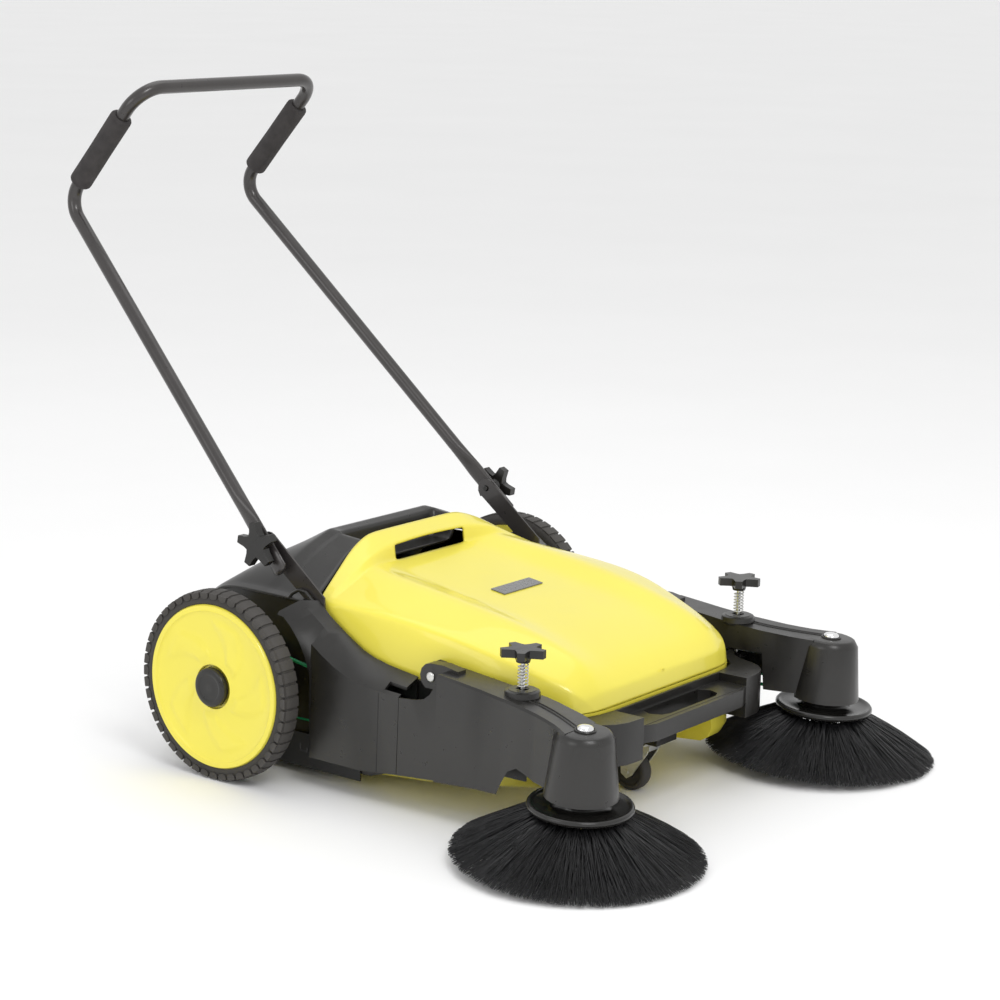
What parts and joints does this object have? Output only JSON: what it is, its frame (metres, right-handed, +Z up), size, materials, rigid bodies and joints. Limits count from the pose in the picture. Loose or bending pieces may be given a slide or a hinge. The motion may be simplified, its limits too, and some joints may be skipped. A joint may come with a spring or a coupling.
{
  "type": "push sweeper",
  "caption": "Walk-behind push sweeper: yellow lift-out dirt container in a black chassis, rear wheels, main roller, hinged side-brush arms, front caster and a folding tube handle.",
  "frame": {"origin": "centre of the object's footprint box, on the floor", "axes": "-Y is the front with the side brushes, +Y is where the operator stands, +X is the operator's left, +Z is up"},
  "size_m": [0.921, 1.1735, 0.9236],
  "materials": {
    "tyre": "matt ribbed rubber",
    "yellow_plastic": "satin moulded plastic",
    "black_plastic": "fine grained moulded plastic",
    "strip_rubber": "matt rubber sheet",
    "grip_foam": "closed-cell foam",
    "dark_paint": "dark satin powder coat",
    "zinc_steel": "zinc plated",
    "chrome": "bright plated",
    "bristle": "dense synthetic bristle",
    "green_belt": "round urethane cord",
    "label": "smooth blank plate"
  },
  "bodies": {
    "chassis": {"side_plate_right": "black_plastic", "side_plate_left": "black_plastic", "side_cover_right": "black_plastic", "side_cover_left": "black_plastic", "side_strip_right": "strip_rubber", "side_strip_left": "strip_rubber", "stub_axle_right": "zinc_steel", "stub_axle_left": "zinc_steel", "handle_bar_right": "dark_paint", "handle_bar_left": "dark_paint", "arm_pin_right": "zinc_steel", "arm_pin_left": "zinc_steel", "adjuster_rod_right": "zinc_steel", "adjuster_rod_left": "zinc_steel", "roller_bearing_right": "zinc_steel", "roller_bearing_left": "zinc_steel", "drive_belt_right": "green_belt", "drive_belt_left": "green_belt", "adjuster_spring_right": "zinc_steel", "adjuster_spring_left": "zinc_steel", "front_bumper": "black_plastic", "rear_housing": "black_plastic", "rear_skirt": "strip_rubber", "caster_plate": "zinc_steel"},
    "wheel_right": {"tyre_right": "tyre", "wheel_disc_right": "yellow_plastic", "hub_cap_right": "black_plastic", "drive_drum_right": "black_plastic"},
    "side_arm_right": {"arm_cover_right": "black_plastic", "brush_bolt_right": "chrome"},
    "side_brush_right": {"brush_pulley_right": "black_plastic", "brush_collar_right": "black_plastic", "brush_bristles_right": "bristle"},
    "height_knob_right": {"adjuster_knob_right": "black_plastic"},
    "clamp_knob_right": {"handle_knob_right": "black_plastic"},
    "wheel_left": {"tyre_left": "tyre", "wheel_disc_left": "yellow_plastic", "hub_cap_left": "black_plastic", "drive_drum_left": "black_plastic"},
    "side_arm_left": {"arm_cover_left": "black_plastic", "brush_bolt_left": "chrome"},
    "side_brush_left": {"brush_pulley_left": "black_plastic", "brush_collar_left": "black_plastic", "brush_bristles_left": "bristle"},
    "height_knob_left": {"adjuster_knob_left": "black_plastic"},
    "clamp_knob_left": {"handle_knob_left": "black_plastic"},
    "main_roller": {"roller_core": "black_plastic", "roller_bristles": "bristle", "drive_pinion": "zinc_steel"},
    "handle": {"handle_tube": "dark_paint", "foam_grip_right": "grip_foam", "foam_grip_left": "grip_foam"},
    "caster_swivel": {"caster_fork": "zinc_steel"},
    "caster_roll": {"caster_wheel": "tyre"},
    "container": {"container_hood": "yellow_plastic", "container_tray": "yellow_plastic", "blank_label": "label"}
  },
  "joints": [
    {"name": "wheel_right_spin", "type": "hinge", "parent": "chassis", "child": "wheel_right", "pos_m": [0, 0.1545, 0.132], "axis": [1, 0, 0], "continuous": true},
    {"name": "wheel_left_spin", "type": "hinge", "parent": "chassis", "child": "wheel_left", "pos_m": [0, 0.1545, 0.132], "axis": [1, 0, 0], "continuous": true},
    {"name": "main_roller_spin", "type": "hinge", "parent": "chassis", "child": "main_roller", "pos_m": [0, 0.16916, 0.113], "axis": [1, 0, 0], "continuous": true},
    {"name": "side_arm_right_height", "type": "hinge", "parent": "chassis", "child": "side_arm_right", "pos_m": [0, -0.1585, 0.188], "axis": [-1, 0, 0], "range_deg": [0, 8], "deforming": ["adjuster_spring_right", "drive_belt_right"]},
    {"name": "side_brush_right_spin", "type": "hinge", "parent": "side_arm_right", "child": "side_brush_right", "pos_m": [-0.2935, -0.42, 0.0107], "axis": [-0.0248, -0.0558, 0.9981], "continuous": true},
    {"name": "height_knob_right_turn", "type": "hinge", "parent": "chassis", "child": "height_knob_right", "pos_m": [-0.2555, -0.3, 0.233], "axis": [0, 0, 1], "continuous": true},
    {"name": "side_arm_left_height", "type": "hinge", "parent": "chassis", "child": "side_arm_left", "pos_m": [0, -0.1585, 0.188], "axis": [-1, 0, 0], "range_deg": [0, 8], "deforming": ["adjuster_spring_left", "drive_belt_left"]},
    {"name": "side_brush_left_spin", "type": "hinge", "parent": "side_arm_left", "child": "side_brush_left", "pos_m": [0.2935, -0.42, 0.0107], "axis": [0.0248, -0.0558, 0.9981], "continuous": true},
    {"name": "height_knob_left_turn", "type": "hinge", "parent": "chassis", "child": "height_knob_left", "pos_m": [0.2555, -0.3, 0.233], "axis": [0, 0, 1], "continuous": true},
    {"name": "handle_fold", "type": "hinge", "parent": "chassis", "child": "handle", "pos_m": [0, 0.146, 0.317], "axis": [-1, 0, 0], "range_deg": [-120, 0]},
    {"name": "clamp_knob_right_turn", "type": "hinge", "parent": "handle", "child": "clamp_knob_right", "pos_m": [-0.2515, 0.146, 0.317], "axis": [1, 0, 0], "continuous": true},
    {"name": "clamp_knob_left_turn", "type": "hinge", "parent": "handle", "child": "clamp_knob_left", "pos_m": [0.2515, 0.146, 0.317], "axis": [1, 0, 0], "continuous": true},
    {"name": "caster_swivel_turn", "type": "hinge", "parent": "chassis", "child": "caster_swivel", "pos_m": [0, -0.322, 0.07], "axis": [0, 0, 1], "continuous": true},
    {"name": "caster_wheel_roll", "type": "hinge", "parent": "caster_swivel", "child": "caster_roll", "pos_m": [0, -0.3, 0.027], "axis": [1, 0, 0], "continuous": true},
    {"name": "container_lift", "type": "slide", "parent": "chassis", "child": "container", "axis": [0, 0, 1], "range_m": [0, 0.14]}
  ],
  "couplings": [
    {"joint": "main_roller_spin", "follows": "wheel_right_spin", "ratio": 3},
    {"joint": "side_brush_right_spin", "follows": "wheel_right_spin", "ratio": 1.7222},
    {"joint": "side_brush_left_spin", "follows": "wheel_left_spin", "ratio": -1.7222}
  ]
}
